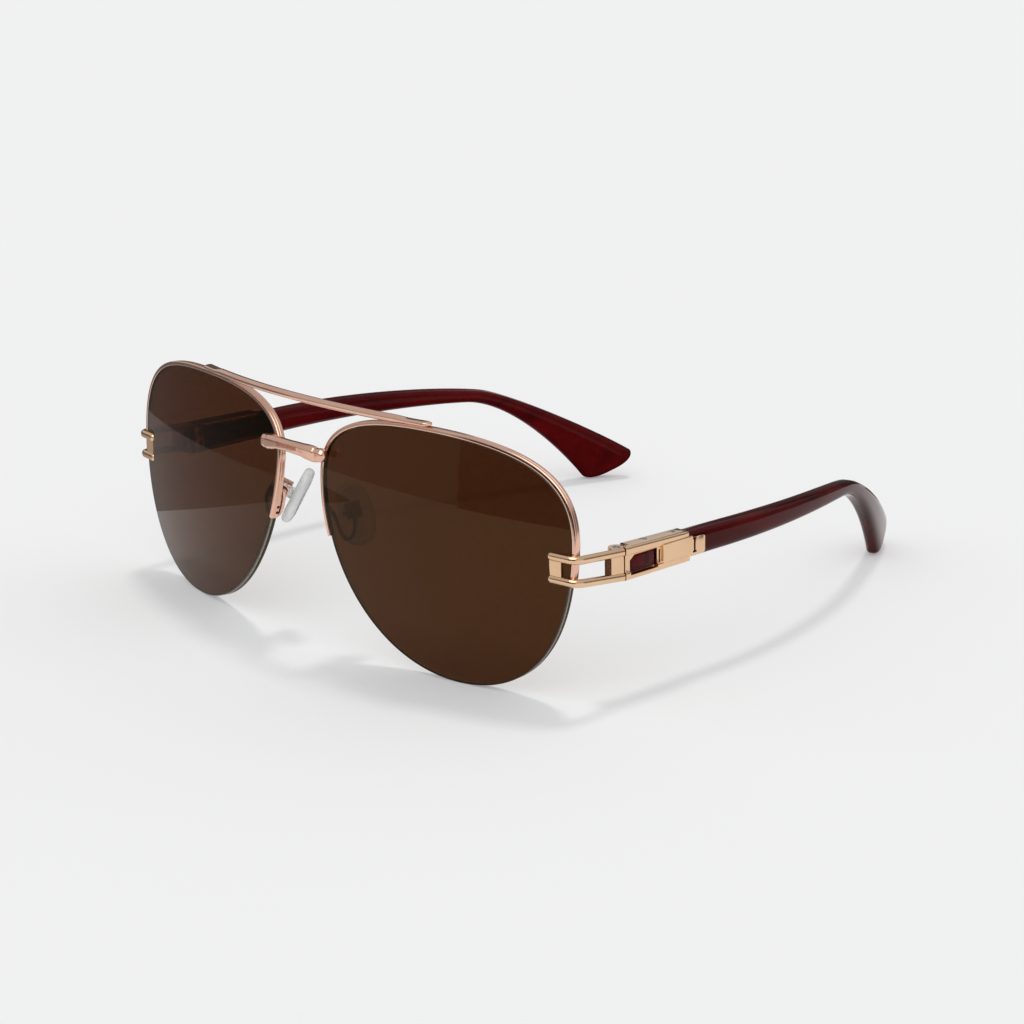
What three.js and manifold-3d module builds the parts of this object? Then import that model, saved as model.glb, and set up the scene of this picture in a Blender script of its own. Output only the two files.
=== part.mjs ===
// Semi-rimless aviator sunglasses with folding temples, in millimetres.
// X runs across the face (+X is the wearer's left), Y from the front towards the ears, Z up.
// Every left-hand piece is built at +X, and its right-hand twin is the same piece mirrored.

import * as THREE from 'three';
import { mergeVertices } from 'three/addons/utils/BufferGeometryUtils.js';
import Module from 'manifold-3d';

const wasm = await Module();
wasm.setup();

// ---------------------------------------------------------------- driving dimensions
const clearance = 0.3;                       // gap between pieces that touch on the real object

const lensCentre = new THREE.Vector3(40.1, 0, 27.4);
const lensWrap = THREE.MathUtils.degToRad(11.2);     // outer side turned back
const lensTilt = THREE.MathUtils.degToRad(1.8);      // top leaned back
const baseCurveRadius = 170;
const lensThickness = 2;

const rimInset = 0.3;                        // rim's inner face, outside the lens edge
const rimBand = 0.7;                         // thickness of the flat rim wire
const rimDepth = 1.6;
const rimLip = 0.12;                         // how far the rim stands in front of the lens
const rimStart = -0.041;                     // fraction of the lens edge, at the end piece
const rimEnd = 0.5;                          // fraction of the lens edge, above the nose pad
const rimBevel = 0.18;

const threadRadius = 0.28;
const grooveRadius = threadRadius + clearance;
const threadInset = 0.3;                     // thread centre, inside the lens edge
const threadHoleRadius = 0.35;
const threadHoles = [0.007, 0.014];          // fractions of the lens edge, before the rim's nasal end

const bridgeHalfLength = 10.3;
const browHalfLength = 36.8;
const browRadius = 0.85;
const browFlat = { from: 25, to: 30, halfDepth: 1.15, halfHeight: 0.42 };

const hinge = { x: 68.7, y: 21.9 };          // vertical axis of each temple hinge
const hingeScrewRadius = 0.5;
const knuckleRadius = 1.7;                   // end piece knuckles, above and below
const centreKnuckleRadius = 2.3;             // temple knuckle between them
const centreKnuckle = { low: 25.1, high: 28 };
const upperKnuckle = { low: 28.3, high: 29.3 };
const lowerKnuckle = { low: 23.7, high: 24.8 };

const railFace = 71.75;                      // outermost plane of the raised rails
const railRecess = 0.45;                     // flats between the rails, behind that plane
const wallThickness = 0.75;                  // sleeve's outer plate
const sleeve = {
  inner: 67.9,
  front: 22.3,
  end: 39.8,
  tabEnd: 44.7,
  topFront: 30.3,
  topEnd: 29.8,
  bottom: 23.4,
};
const flange = 0.95;                         // sleeve's top and bottom walls
const templeScrewX = 69;
const templeScrewsY = { front: 29.3, rear: 37.4 };
const templeScrewRadius = 0.42;
const templeScrewHead = { radius: 0.85, height: 0.4 };

const armCentreX = 69.3;
const armThickness = 3.9;
const armBendStart = 50.6;                   // straight to here, then a parabola inwards
const armBendScale = 257;

const padCentre = new THREE.Vector3(9.6, 4.3, 28.4);
const padSize = { length: 13.6, width: 7.2, thickness: 2.5 };

// ---------------------------------------------------------------- facets
const edgeFacets = 50;                       // round the whole lens edge
const rimFacets = 36;
const threadFacets = 30;
const threadSides = 6;
const barFacets = 26;

// ---------------------------------------------------------------- materials
const finish = (color, roughness, metalness, extra = {}) =>
  new THREE.MeshStandardMaterial({ color, roughness, metalness, ...extra });

const roseGold = finish(0xe1b49b, 0.2, 1);
const yellowGold = finish(0xd7b491, 0.22, 1);
const steel = finish(0xb9b9bc, 0.3, 1);
const brownLens = finish(0x452a1e, 0.05, 0, { transparent: true, opacity: 0.93 });
const nylon = finish(0xa98f6e, 0.3, 0);
const burgundy = finish(0x54161a, 0.12, 0);
const silicone = finish(0xd9dad8, 0.35, 0, { transparent: true, opacity: 0.8 });
const padCore = finish(0xb4b5b6, 0.3, 0.2);

// ---------------------------------------------------------------- solids
const vec = (x, y, z) => new THREE.Vector3(x, y, z);

function signedVolume(geometry) {
  const { position } = geometry.attributes;
  const corners = [vec(0, 0, 0), vec(0, 0, 0), vec(0, 0, 0)];
  let volume = 0;
  for (let i = 0; i < geometry.index.count; i += 3) {
    corners.forEach((corner, k) => corner.fromBufferAttribute(position, geometry.index.getX(i + k)));
    volume += corners[0].dot(corners[1].clone().cross(corners[2])) / 6;
  }
  return volume;
}

// Positions and faces only, with shared corners merged and every face turned outwards.
function weld(geometry) {
  const bare = geometry.clone();
  bare.deleteAttribute('normal');
  bare.deleteAttribute('uv');
  const welded = mergeVertices(bare, 1e-4);
  if (signedVolume(welded) < 0) welded.index.array.reverse();
  return welded;
}

function solid(geometry) {
  const welded = weld(geometry);
  return new wasm.Manifold(new wasm.Mesh({
    numProp: 3,
    vertProperties: new Float32Array(welded.attributes.position.array),
    triVerts: new Uint32Array(welded.index.array),
  }));
}

function geometryOf(manifold) {
  const mesh = manifold.getMesh();
  const geometry = new THREE.BufferGeometry();
  geometry.setAttribute('position', new THREE.BufferAttribute(mesh.vertProperties, 3));
  geometry.setIndex(new THREE.BufferAttribute(mesh.triVerts, 1));
  return geometry;
}

// A closed solid through rings of points, each with the same count, with flat ends.
function loft(rings) {
  const count = rings[0].length;
  const index = [];
  for (let r = 0; r + 1 < rings.length; r += 1) {
    for (let k = 0; k < count; k += 1) {
      const a = r * count + k;
      const b = r * count + ((k + 1) % count);
      index.push(a, b, b + count, a, b + count, a + count);
    }
  }
  const last = (rings.length - 1) * count;
  for (let k = 1; k + 1 < count; k += 1) {
    index.push(0, k + 1, k);
    index.push(last, last + k, last + k + 1);
  }
  const geometry = new THREE.BufferGeometry();
  const points = rings.flat().flatMap((point) => point.toArray());
  geometry.setAttribute('position', new THREE.Float32BufferAttribute(points, 3));
  geometry.setIndex(index);
  return geometry;
}

// Corners of an ellipse, or of a rounded box when squareness is above 1.
function ringShape(halfWidth, halfHeight, sides, squareness = 1) {
  return Array.from({ length: sides }, (_, k) => {
    const angle = (2 * Math.PI * (k + 0.5)) / sides;
    const bulge = (value) => Math.sign(value) * Math.abs(value) ** (1 / squareness);
    return [halfWidth * bulge(Math.cos(angle)), halfHeight * bulge(Math.sin(angle))];
  });
}

// A ring of that shape, laid out along two directions about a centre.
function ring(centre, across, up, shape) {
  return shape.map(([a, b]) => centre.clone().addScaledVector(across, a).addScaledVector(up, b));
}

function box(x, y, z) {
  const geometry = new THREE.BoxGeometry(x[1] - x[0], y[1] - y[0], z[1] - z[0]);
  return solid(geometry.translate((x[0] + x[1]) / 2, (y[0] + y[1]) / 2, (z[0] + z[1]) / 2));
}

function rod(x, y, z, radius, sides = 16) {
  const geometry = new THREE.CylinderGeometry(radius, radius, z[1] - z[0], sides);
  return solid(geometry.rotateX(Math.PI / 2).translate(x, y, (z[0] + z[1]) / 2));
}

const union = (...pieces) => pieces.reduce((whole, piece) => whole.add(piece));

// ---------------------------------------------------------------- lens plane
// Lens edge in the lens's own plane, as distances from the lens centre towards the ear and up.
// Four quarters join its outermost, highest, innermost and lowest points.
const lensOuter = vec(30.5, 0, 5);
const lensTop = vec(-6, 0, 24);
const lensInner = vec(-32.3, 0, 11.5);
const lensBottom = vec(4, 0, -27.3);

function lensQuarter(from, leaving, to, arriving) {
  return new THREE.CubicBezierCurve3(from, from.clone().add(leaving), to.clone().add(arriving), to);
}

const lensEdge = new THREE.CurvePath();
lensEdge.add(lensQuarter(lensOuter, vec(0, 0, 12), lensTop, vec(28.5, 0, 0)));
lensEdge.add(lensQuarter(lensTop, vec(-19, 0, 0), lensInner, vec(0, 0, 8)));
lensEdge.add(lensQuarter(lensInner, vec(0, 0, -18.5), lensBottom, vec(-22, 0, 0)));
lensEdge.add(lensQuarter(lensBottom, vec(16, 0, 0), lensOuter, vec(0, 0, -21)));

const sag = (across, up) => baseCurveRadius - Math.sqrt(baseCurveRadius ** 2 - across ** 2 - up ** 2);

const lensPlacement = new THREE.Matrix4()
  .makeRotationZ(lensWrap)
  .multiply(new THREE.Matrix4().makeRotationX(-lensTilt))
  .setPosition(lensCentre);

// A point beside the lens edge: outwards from the edge, and backwards from the lens front.
function besideEdge(fraction, outwards, backwards) {
  const at = (fraction + 1) % 1;
  const point = lensEdge.getPointAt(at);
  const tangent = lensEdge.getTangentAt(at);
  point.x += tangent.z * outwards;
  point.z -= tangent.x * outwards;
  point.y = sag(point.x, point.z) + backwards;
  return point;
}

// Sweeps a section of [outwards, backwards] corners along part of the lens edge.
function alongEdge(section, from, to, steps) {
  return loft(Array.from({ length: steps + 1 }, (_, i) => {
    const fraction = THREE.MathUtils.lerp(from, to, i / steps);
    return section.map(([outwards, backwards]) => besideEdge(fraction, outwards, backwards));
  }));
}

const blank = { radius: 37, front: -8, back: 12, rings: 5, sides: 32 };

// The curved lens blank, grown by a margin on every side.
function lensBody(margin) {
  const edgePoints = Array.from({ length: edgeFacets }, (_, i) => {
    const point = besideEdge(i / edgeFacets, margin, 0);
    return new THREE.Vector2(point.x, point.z);
  });
  const prism = new THREE.ExtrudeGeometry(new THREE.Shape(edgePoints), {
    depth: blank.back - blank.front,
    bevelEnabled: false,
  });
  prism.rotateX(Math.PI / 2).translate(0, blank.back, 0);
  const face = (offset) => Array.from({ length: blank.rings + 1 }, (_, step) => {
    const reach = (blank.radius * step) / blank.rings;
    return new THREE.Vector2(reach, sag(reach, 0) + offset);
  });
  const profile = [...face(-margin), ...face(lensThickness + margin).reverse()];
  return solid(prism).intersect(solid(new THREE.LatheGeometry(profile, blank.sides)));
}

function threadSection(radius) {
  return ringShape(radius, radius, threadSides).map(([a, b]) => [a - threadInset, b + lensThickness / 2]);
}

// The groove runs on a little way under each end of the rim.
function makeLens() {
  const runOn = 0.006;
  const section = threadSection(grooveRadius);
  const groove = solid(alongEdge(section, rimEnd - runOn, 1 + rimStart + runOn, threadFacets));
  return lensBody(0).subtract(groove);
}

function makeNylonThread() {
  return solid(alongEdge(threadSection(threadRadius), rimEnd, 1 + rimStart, threadFacets));
}

function rimSection(margin) {
  const inner = rimInset - margin;
  const outer = rimInset + rimBand + margin;
  const front = -rimLip - margin;
  const back = rimDepth - rimLip + margin;
  return [[inner, front], [outer - rimBevel, front], [outer, front + rimBevel],
    [outer, back - rimBevel], [outer - rimBevel, back], [inner, back]];
}

// Two holes near the rim's nasal end take the knotted ends of the thread.
function makeRim() {
  const band = solid(alongEdge(rimSection(0), rimStart, rimEnd, rimFacets));
  const holes = threadHoles.map((beforeEnd) => {
    const start = besideEdge(rimEnd - beforeEnd, -1, lensThickness / 2);
    const end = besideEdge(rimEnd - beforeEnd, 3, lensThickness / 2);
    const across = vec(0, 1, 0);
    const up = end.clone().sub(start).cross(across).normalize();
    const shape = ringShape(threadHoleRadius, threadHoleRadius, 8);
    return solid(loft([ring(start, across, up, shape), ring(end, across, up, shape)]));
  });
  return band.subtract(union(...holes));
}

const place = (manifold, matrix) => solid(geometryOf(manifold).applyMatrix4(matrix));

const lensSpace = place(lensBody(clearance), lensPlacement);
const rimSpaceRunOn = 0.004;
const rimSpace = place(
  solid(alongEdge(rimSection(clearance), rimStart - rimSpaceRunOn, rimEnd + rimSpaceRunOn, rimFacets)),
  lensPlacement,
);

// ---------------------------------------------------------------- bridge and brow bar
const mirrorX = new THREE.Matrix4().makeScale(-1, 1, 1);
const bothSides = (manifold) => manifold.add(place(manifold, mirrorX));

// Distance from the middle, half height and half depth at the stations of the cast bridge.
const bridgeStations = [
  [0, 1.3, 0.9], [3.5, 1.38, 0.95], [6.4, 1.6, 1.05], [7.3, 1.5, 1], [7.7, 1.05, 0.8],
  [8.1, 1.05, 0.8], [8.6, 1.4, 1.05], [9.3, 1.5, 1.15], [9.9, 1.15, 0.9], [bridgeHalfLength, 0.45, 0.35],
];

function makeBridge() {
  const centreAt = (x) => vec(x, -5.2 + 0.0125 * x * x, 43.2 - 0.0062 * x * x);
  const otherHalf = bridgeStations.slice(1).map(([x, ...half]) => [-x, ...half]).reverse();
  const stations = [...otherHalf, ...bridgeStations];
  const rings = stations.map(([x, halfHeight, halfDepth]) =>
    ring(centreAt(x), vec(0, 1, 0), vec(0, 0, 1), ringShape(halfDepth, halfHeight, 12, 1.5)));
  return solid(loft(rings)).subtract(bothSides(rimSpace)).subtract(bothSides(lensSpace));
}

// Round in the middle, flattened where it lies along the top of each rim.
function makeBrowBar() {
  const rings = Array.from({ length: barFacets + 1 }, (_, i) => {
    const x = THREE.MathUtils.lerp(-browHalfLength, browHalfLength, i / barFacets);
    const reach = Math.abs(x) / browHalfLength;
    const flat = THREE.MathUtils.smoothstep(Math.abs(x), browFlat.from, browFlat.to);
    const centre = vec(x, -3.1 + 5.1 * reach ** 2, 53.4 - 0.45 * reach ** 2);
    const halfDepth = THREE.MathUtils.lerp(browRadius, browFlat.halfDepth, flat);
    const halfHeight = THREE.MathUtils.lerp(browRadius, browFlat.halfHeight, flat);
    const shape = ringShape(halfDepth, halfHeight, 10, 1 + 0.4 * flat);
    return ring(centre, vec(0, 1, 0), vec(0, 0, 1), shape);
  });
  return solid(loft(rings)).subtract(bothSides(rimSpace));
}

// ---------------------------------------------------------------- nose pads
// Pad directions: along its length (down and outwards), across the thickness (towards the
// nose), and across the width (towards the back).
const padLong = vec(0.49, -0.14, -0.86).normalize();
const towardsNose = vec(-0.72, 0.5, 0);
const padOut = towardsNose.clone().addScaledVector(padLong, -towardsNose.dot(padLong)).normalize();
const padBack = padLong.clone().cross(padOut);
const padFrame = new THREE.Matrix4().makeBasis(padBack, padLong, padOut).setPosition(padCentre);

const padBevel = 0.8;
const padPocketInset = 1.4;
const padPlateThickness = 0.8;
const padStem = { halfWidth: 0.7, halfLength: 1.1, reach: 3.1 };
const padBoxSize = { width: 3.2, length: 3.4, depth: 2.9, wall: 0.5, openFront: 0.6 };
const padBoxBack = -padSize.thickness / 2 - clearance - padBoxSize.depth;
const padPivotDepth = padBoxBack + 1.25;
const padScrew = { radius: 0.35, headRadius: 0.7, headHeight: 0.5 };

// D-shaped pad outline: straighter along the front edge, full and round along the back edge.
function padOutline(margin) {
  const halfLength = padSize.length / 2 + margin;
  const front = -padSize.width * 0.42 - margin;
  const back = padSize.width * 0.58 + margin;
  const shape = new THREE.Shape();
  shape.moveTo(front, -halfLength * 0.35);
  shape.bezierCurveTo(front, -halfLength * 0.85, front * 0.5, -halfLength, 0.4, -halfLength);
  shape.bezierCurveTo(back * 0.85, -halfLength, back, -halfLength * 0.45, back, 0);
  shape.bezierCurveTo(back, halfLength * 0.6, back * 0.75, halfLength, 0.2, halfLength);
  shape.bezierCurveTo(front * 0.7, halfLength, front, halfLength * 0.75, front, halfLength * 0.35);
  return shape;
}

function padSlab(margin, low, high, bevel) {
  return solid(new THREE.ExtrudeGeometry(padOutline(margin - bevel), {
    depth: high - low - 2 * bevel,
    bevelEnabled: bevel > 0,
    bevelThickness: bevel,
    bevelSize: bevel,
    bevelSegments: 2,
    curveSegments: 5,
  }).translate(0, 0, low + bevel));
}

// The soft pad, with an open pocket in its back for the stiff plate that carries it.
function makeNosePad() {
  const half = padSize.thickness / 2;
  const pocket = padSlab(-padPocketInset, -half - 0.2, -half + padPlateThickness + clearance, 0);
  return padSlab(0, -half, half, padBevel).subtract(pocket);
}

function makePadPlate() {
  const back = -padSize.thickness / 2;
  const plate = padSlab(-padPocketInset - clearance, back, back + padPlateThickness, 0);
  const { halfWidth, halfLength, reach } = padStem;
  const stem = box([-halfWidth, halfWidth], [-halfLength, halfLength], [back - reach + 0.3, back + 0.3]);
  const eye = box([-5, 5], [-padScrew.radius - clearance, padScrew.radius + clearance],
    [padPivotDepth - padScrew.radius - clearance, padPivotDepth + padScrew.radius + clearance]);
  return plate.add(stem).subtract(eye);
}

// A three-sided box round the stem, open towards the pad and at both ends.
function makePadBox() {
  const { width, length, depth, wall, openFront } = padBoxSize;
  const high = padBoxBack + depth - openFront;
  const body = box([-width / 2, width / 2], [-length / 2, length / 2], [padBoxBack - wall, high]);
  const hollow = box([-width / 2 + wall, width / 2 - wall], [-length, length], [padBoxBack, high + 1]);
  const reach = padScrew.radius + clearance;
  const eye = box([-width, width], [-reach, reach], [padPivotDepth - reach, padPivotDepth + reach]);
  return body.subtract(hollow).subtract(eye);
}

function makePadScrew() {
  const { radius, headRadius, headHeight } = padScrew;
  const halfLength = padBoxSize.width / 2 + clearance;
  const shank = new THREE.CylinderGeometry(radius, radius, 2 * halfLength + 0.2, 8);
  const head = new THREE.CylinderGeometry(headRadius, headRadius, headHeight, 10);
  head.translate(0, halfLength + headHeight / 2, 0);
  const screw = solid(shank).add(solid(head));
  return place(screw, new THREE.Matrix4().makeRotationZ(Math.PI / 2).setPosition(0, 0, padPivotDepth));
}

const padWireRadius = 0.45;

// Wire from behind the rim, down and round in a U, up to the back of the pad box.
function makePadArm() {
  const behindBox = padBoxBack - padBoxSize.wall - clearance - padWireRadius - 0.1;
  const path = new THREE.CatmullRomCurve3([
    vec(7.5, -1.2, 31.2),
    vec(8.4, -0.5, 29.8),
    vec(9.3, -0.1, 28.2),
    vec(10.4, 0, 25.8),
    vec(12.4, 0.1, 24.5),
    vec(14.2, 0.4, 26),
    vec(-0.2, 2.8, behindBox).applyMatrix4(padFrame),
    vec(0, 0, behindBox).applyMatrix4(padFrame),
  ]);
  const wire = new THREE.Shape().absarc(0, 0, padWireRadius, 0, 2 * Math.PI);
  const tube = new THREE.ExtrudeGeometry(wire, {
    steps: 24,
    extrudePath: path,
    curveSegments: 4,
    bevelEnabled: false,
  });
  return solid(tube).subtract(rimSpace).subtract(lensSpace);
}

// ---------------------------------------------------------------- end pieces
// Plan path of the end piece's outer face: across the lens front, round the corner and back.
const endPiece = { front: 6.4, back: 21.3, topFront: 31.4, bottomFront: 25, windowBack: 17.9 };
const cornerStart = vec(69.3, 7.2, 0);
const cornerPoint = vec(71.6, 7.6, 0);
const cornerEnd = vec(railFace, 10.6, 0);
const endPiecePath = new THREE.CurvePath();
endPiecePath.add(new THREE.LineCurve3(vec(64.7, endPiece.front, 0), cornerStart));
endPiecePath.add(new THREE.QuadraticBezierCurve3(cornerStart, cornerPoint, cornerEnd));
endPiecePath.add(new THREE.LineCurve3(cornerEnd, vec(railFace, endPiece.back, 0)));
const endPieceLength = endPiecePath.getLength();
const railHeight = 1.75;
const railThickness = 1.5;

const alongEndPiece = (y, atFront, atBack) =>
  THREE.MathUtils.mapLinear(y, endPiece.front, endPiece.back, atFront, atBack);
const endPieceTop = (y) => alongEndPiece(y, endPiece.topFront, sleeve.topFront);
const endPieceBottom = (y) => alongEndPiece(y, endPiece.bottomFront, sleeve.bottom);

// A band that follows the end piece's path, between two heights that may change along it.
function endPieceBand(from, to, steps, recess, thickness, heights, squareness = 3) {
  return solid(loft(Array.from({ length: steps + 1 }, (_, i) => {
    const fraction = THREE.MathUtils.lerp(from, to, i / steps) / endPieceLength;
    const face = endPiecePath.getPointAt(fraction);
    const tangent = endPiecePath.getTangentAt(fraction);
    const inwards = vec(-tangent.y, tangent.x, 0);
    const [low, high] = heights(face.y);
    const centre = face.addScaledVector(inwards, recess + thickness / 2);
    centre.z = (low + high) / 2;
    const shape = ringShape(thickness / 2, (high - low) / 2, 8, squareness);
    return ring(centre, inwards, vec(0, 0, 1), shape);
  })));
}

function makeEndPiece() {
  const topRail = (y) => [endPieceTop(y) - railHeight, endPieceTop(y)];
  const bottomRail = (y) => [endPieceBottom(y), endPieceBottom(y) + railHeight];
  const flat = (y) => [endPieceBottom(y) + railHeight / 2, endPieceTop(y) - railHeight / 2];
  const windowStart = 3.3;
  const windowEnd = endPieceLength - (endPiece.back - endPiece.windowBack);
  const rails = [topRail, bottomRail].map((heights) =>
    endPieceBand(0, endPieceLength, 15, 0, railThickness, heights, 2));
  const frontFlat = endPieceBand(0.05, windowStart, 3, railRecess, 1, flat);
  const rearFlat = endPieceBand(windowEnd, endPieceLength, 3, railRecess, 1.35, flat);
  const knuckles = [upperKnuckle, lowerKnuckle].map(({ low, high }) => union(
    rod(hinge.x, hinge.y, [low, high], knuckleRadius, 20),
    box([hinge.x - knuckleRadius, hinge.x + knuckleRadius], [20, hinge.y], [low, high]),
    box([hinge.x - knuckleRadius, 70.9], [18.4, 21], [low, high]),
  ));
  const sweptHeights = [centreKnuckle.low - clearance, centreKnuckle.high + clearance];
  const sweptByTemple = rod(hinge.x, hinge.y, sweptHeights, centreKnuckleRadius + clearance, 24);
  const screwHole = rod(hinge.x, hinge.y, [20, 35], hingeScrewRadius + clearance, 12);
  return union(...rails, frontFlat, rearFlat, ...knuckles)
    .subtract(sweptByTemple)
    .subtract(screwHole)
    .subtract(rimSpace)
    .subtract(lensSpace);
}

function makeHingeScrew() {
  const headLow = upperKnuckle.high + clearance;
  const head = { radius: 0.95, height: 0.5, slotDepth: 0.2, slotHalfWidth: 0.15 };
  const slot = box(
    [hinge.x - 1, hinge.x + 1],
    [hinge.y - head.slotHalfWidth, hinge.y + head.slotHalfWidth],
    [headLow + head.height - head.slotDepth, headLow + 1],
  );
  return union(
    rod(hinge.x, hinge.y, [lowerKnuckle.low, headLow + 0.05], hingeScrewRadius, 12),
    rod(hinge.x, hinge.y, [headLow, headLow + head.height], head.radius, 16),
  ).subtract(slot);
}

// ---------------------------------------------------------------- temples
const plateFace = railFace - railRecess;     // outer plane of the sleeve's flat
const sleeveTop = (y) =>
  THREE.MathUtils.mapLinear(y, sleeve.front, sleeve.end, sleeve.topFront, sleeve.topEnd);
const railEnds = { top: 39.6, bottom: 39.9 };
const sleeveWindow = { front: 23, back: 30.7, low: 24.35, high: 28.3 };
const panel = { front: 32.3, back: 40.9, low: 25.1, high: 28.4, thickness: 0.5 };
const tab = { root: 38, low: 24.3, high: 28.1, corner: 0.7 };
const slots = { spans: [[31.2, 31.8], [41.2, 42]], heights: [25.05, 27.8] };
const screwSeatDepth = 0.6;
const armFront = sleeve.end + clearance;

function sleeveBar(xRange, yRange, low, high, squareness = 3) {
  const halfWidth = (xRange[1] - xRange[0]) / 2;
  return solid(loft(yRange.map((y) => {
    const centre = vec(xRange[0] + halfWidth, y, (low(y) + high(y)) / 2);
    const shape = ringShape(halfWidth, (high(y) - low(y)) / 2, 12, squareness);
    return ring(centre, vec(1, 0, 0), vec(0, 0, 1), shape);
  })));
}

// A channel round the front of the arm: outer plate, top and bottom walls, raised rails, a
// tab that runs on over the arm, and the centre knuckle of the hinge.
function makeSleeve() {
  const bottom = () => sleeve.bottom;
  const above = (height) => () => sleeve.bottom + height;
  const below = (height) => (y) => sleeveTop(y) - height;
  const front = sleeve.front - 0.6;
  const length = [front, sleeve.end];
  const walls = [sleeve.inner, plateFace];
  const plateDepth = [plateFace - wallThickness, plateFace];
  const railDepth = [70.4, railFace - 0.1];
  const topWall = sleeveBar(walls, length, below(flange), below(0.1), 6);
  const bottomWall = sleeveBar(walls, length, above(0.1), above(flange), 6);
  const plate = box(plateDepth, length, [sleeve.bottom + 0.5, sleeve.topEnd - 0.3]);
  const topRail = sleeveBar(railDepth, [front, railEnds.top], below(railHeight), below(0), 2);
  const bottomRail = sleeveBar(railDepth, [front, railEnds.bottom], bottom, above(railHeight), 2);
  const tabPlate = box(plateDepth, [tab.root, sleeve.tabEnd - 1], [tab.low, tab.high]);
  const tabTip = box(plateDepth, [tab.root, sleeve.tabEnd], [tab.low + tab.corner, tab.high - tab.corner]);
  const blockHeights = [sleeve.bottom + 0.2, sleeve.topFront - 0.4];
  const frontBlock = box([sleeve.inner, railDepth[0]], [front, 23.8], blockHeights);
  const knuckleHeights = [centreKnuckle.low, centreKnuckle.high];
  const knuckle = rod(hinge.x, hinge.y, knuckleHeights, centreKnuckleRadius, 24);

  const aboveKnuckle = rod(hinge.x, hinge.y, [centreKnuckle.high, 35], knuckleRadius + clearance, 24);
  const belowKnuckle = rod(hinge.x, hinge.y, [20, centreKnuckle.low], knuckleRadius + clearance, 24);
  const screwHole = rod(hinge.x, hinge.y, [20, 35], hingeScrewRadius + clearance, 12);
  const windowCut = box([70.45, 75], [sleeveWindow.front, sleeveWindow.back],
    [sleeveWindow.low, sleeveWindow.high]);
  const slotCuts = slots.spans.map((span) => box([70, 75], span, slots.heights));
  const panelSeat = box([plateFace - 0.2, 75], [panel.front - clearance, panel.back + clearance],
    [panel.low - clearance, panel.high + clearance]);
  const screwSeats = Object.values(templeScrewsY).map((y) => union(
    rod(templeScrewX, y, [24, 35], templeScrewRadius + clearance, 12),
    rod(templeScrewX, y, [sleeveTop(y) - screwSeatDepth, 35], templeScrewHead.radius + clearance, 16),
  ));
  return union(topWall, bottomWall, plate, topRail, bottomRail, tabPlate, tabTip, frontBlock)
    .subtract(union(aboveKnuckle, belowKnuckle))
    .add(knuckle)
    .subtract(union(screwHole, windowCut, ...slotCuts, panelSeat, ...screwSeats));
}

function makePanel() {
  return solid(new THREE.ExtrudeGeometry(new THREE.Shape([
    new THREE.Vector2(panel.front, panel.low),
    new THREE.Vector2(panel.back, panel.low),
    new THREE.Vector2(panel.back, panel.high),
    new THREE.Vector2(panel.front, panel.high),
  ]), { depth: panel.thickness, bevelEnabled: false })
    .applyMatrix4(new THREE.Matrix4().makeBasis(vec(0, 1, 0), vec(0, 0, 1), vec(1, 0, 0)))
    .translate(plateFace - 0.2 + clearance, 0, 0));
}

function makeTempleScrew(y) {
  const seat = sleeveTop(y) - screwSeatDepth + clearance;
  return union(
    rod(templeScrewX, y, [25, seat + 0.05], templeScrewRadius, 10),
    rod(templeScrewX, y, [seat, seat + templeScrewHead.height], templeScrewHead.radius, 14),
  );
}

const armX = (y) => armCentreX - Math.max(0, y - armBendStart) ** 2 / armBendScale;

function armAcross(y) {
  const slope = (-2 * Math.max(0, y - armBendStart)) / armBendScale;
  return vec(1, -slope, 0).normalize();
}

// Side view of the arm: a long straight stretch and a turned-down end, as one curve each for the
// upper and the lower edge, with both edges read at the same parameter.
const sideCurve = (...points) => new THREE.CubicBezierCurve3(...points.map(([y, z]) => vec(0, y, z)));

const armStraight = {
  upper: sideCurve([armFront, 29.4], [60, 29.4], [90, 27.6], [102, 25.2]),
  lower: sideCurve([armFront, 23.7], [60, 23.6], [85, 23.6], [98, 22.7]),
  steps: 9,
};
const armEnd = {
  upper: sideCurve([102, 25.2], [108, 24], [126, 14.2], [136, 6.6]),
  lower: sideCurve([98, 22.7], [107, 22], [117.5, 12.5], [125.2, 1.2]),
  steps: 14,
};
const armTip = { reach: 2.6, steps: 4 };     // rounding beyond the last pair of edge points

// A cross-section of the arm between an upper and a lower edge point.
function armRing(upper, lower, thickness) {
  const middle = upper.clone().add(lower).divideScalar(2);
  const half = upper.clone().sub(lower).divideScalar(2);
  return ringShape(thickness / 2, 1, 14, 2).map(([across, along]) => {
    const point = middle.clone().addScaledVector(half, along);
    return vec(armX(point.y), point.y, point.z).addScaledVector(armAcross(point.y), across);
  });
}

function armStretch({ upper, lower, steps }) {
  return Array.from({ length: steps }, (_, i) =>
    armRing(upper.getPoint(i / steps), lower.getPoint(i / steps), armThickness));
}

// The rounded tip: sections that move on and shrink as an arc does.
function armTipRings() {
  const upper = armEnd.upper.getPoint(1);
  const lower = armEnd.lower.getPoint(1);
  const middle = upper.clone().add(lower).divideScalar(2);
  const half = upper.clone().sub(lower).divideScalar(2);
  const onwards = vec(0, half.z, -half.y).normalize();
  return Array.from({ length: armTip.steps + 1 }, (_, i) => {
    const angle = THREE.MathUtils.degToRad((80 * i) / armTip.steps);
    const centre = middle.clone().addScaledVector(onwards, armTip.reach * Math.sin(angle));
    const reach = half.clone().multiplyScalar(Math.cos(angle) ** 0.5);
    const thickness = armThickness * Math.cos(angle) ** 0.4;
    return armRing(centre.clone().add(reach), centre.clone().sub(reach), thickness);
  });
}

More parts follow.
